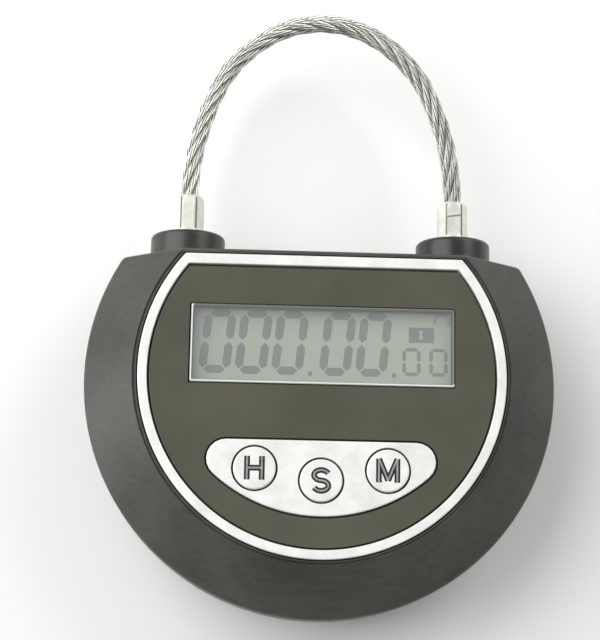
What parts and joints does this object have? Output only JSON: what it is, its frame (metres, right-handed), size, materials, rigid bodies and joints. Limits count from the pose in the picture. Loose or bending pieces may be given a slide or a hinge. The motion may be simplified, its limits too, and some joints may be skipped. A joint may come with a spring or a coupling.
{
  "type": "timer padlock",
  "caption": "Round battery timer padlock with a flat top, digital display, push buttons and a wire-rope shackle whose release pin is held by a geared bolt.",
  "frame": {"origin": "centre of the round body's outline on its flat back face", "axes": "+Z out of the display, +Y towards the shackle, +X to the right seen from the display"},
  "size_m": [0.07, 0.095, 0.0253],
  "materials": {
    "housing_black": "satin black moulded plastic",
    "ring_silver": "bright silver plated plastic",
    "panel_olive": "glossy dark olive acrylic",
    "window_clear": "clear acrylic",
    "button_silver": "silver-white painted plastic",
    "lcd_green": "grey-green display glass",
    "frame_white": "white moulded plastic",
    "strip_rubber": "layered conductive rubber",
    "board_green": "epoxy board with solder mask",
    "chip_black": "black epoxy",
    "screw_steel": "zinc plated steel",
    "collar_black": "glossy black plastic",
    "rope_steel": "stranded stainless steel wire",
    "ferrule_steel": "nickel plated brass",
    "pin_steel": "turned stainless steel",
    "bolt_steel": "hardened steel",
    "guide_zinc": "die-cast zinc",
    "gear_brass": "milled brass",
    "motor_can": "drawn steel can",
    "cell_jacket": "plain printed jacket",
    "contact_nickel": "nickel plated spring steel"
  },
  "bodies": {
    "lock_body": {"front_housing": "housing_black", "rear_housing": "housing_black", "trim_ring": "ring_silver", "front_panel": "panel_olive", "display_window": "window_clear", "button_plate": "button_silver", "lcd_glass": "lcd_green", "lcd_frame": "frame_white", "zebra_strips": "strip_rubber", "circuit_board": "board_green", "board_chips": "chip_black", "switch_bodies": "chip_black", "board_screws": "screw_steel", "housing_screws": "screw_steel", "collar_left": "collar_black", "collar_right": "collar_black", "release_guide": "guide_zinc", "motor": "motor_can", "gear_axle": "pin_steel", "gear_retainer": "contact_nickel", "mechanism_plate": "guide_zinc", "bracket_screws": "screw_steel", "battery_cells": "cell_jacket", "spring_contacts": "contact_nickel", "plate_contacts": "contact_nickel"},
    "shackle": {"shackle_cable": "rope_steel", "ferrule_left": "ferrule_steel", "ferrule_right": "ferrule_steel", "anchor_pin": "pin_steel", "anchor_clip": "contact_nickel", "release_pin": "pin_steel"},
    "bolt": {"lock_bolt": "bolt_steel"},
    "gear": {"lock_gear": "gear_brass"},
    "drive": {"motor_pinion": "gear_brass", "motor_shaft": "pin_steel"},
    "cover": {"battery_cover": "housing_black", "cover_screw": "screw_steel"},
    "key_hours": {"button_hours": "button_silver", "plunger_hours": "chip_black"},
    "key_start": {"button_start": "button_silver", "plunger_start": "chip_black"},
    "key_minutes": {"button_minutes": "button_silver", "plunger_minutes": "chip_black"}
  },
  "joints": [
    {"name": "shackle_lift", "type": "slide", "parent": "lock_body", "child": "shackle", "axis": [0, 1, 0], "range_m": [0, 0.01325]},
    {"name": "bolt_slide", "type": "slide", "parent": "lock_body", "child": "bolt", "axis": [1, 0, 0], "range_m": [0, 0.0042]},
    {"name": "gear_turn", "type": "hinge", "parent": "lock_body", "child": "gear", "pos_m": [0.002, 0.0076, 0.0128], "axis": [0, 0, -1], "range_deg": [-0.5, 80.71]},
    {"name": "motor_turn", "type": "hinge", "parent": "lock_body", "child": "drive", "pos_m": [-0.0079, 0.0076, 0.0128], "axis": [0, 0, -1], "range_deg": [-214.9, 1]},
    {"name": "cover_off", "type": "slide", "parent": "lock_body", "child": "cover", "axis": [0, 0, -1], "range_m": [0, 0.012]},
    {"name": "hours_press", "type": "slide", "parent": "lock_body", "child": "key_hours", "axis": [0, 0, -1], "range_m": [0, 0.0003], "stiffness_N_per_m": 400, "springref_m": -0.0002},
    {"name": "start_press", "type": "slide", "parent": "lock_body", "child": "key_start", "axis": [0, 0, -1], "range_m": [0, 0.0003], "stiffness_N_per_m": 400, "springref_m": -0.0002},
    {"name": "minutes_press", "type": "slide", "parent": "lock_body", "child": "key_minutes", "axis": [0, 0, -1], "range_m": [0, 0.0003], "stiffness_N_per_m": 400, "springref_m": -0.0002}
  ],
  "couplings": [
    {"joint": "gear_turn", "follows": "bolt_slide", "rad_per_m": 333.33},
    {"joint": "motor_turn", "follows": "bolt_slide", "rad_per_m": -888.89}
  ]
}
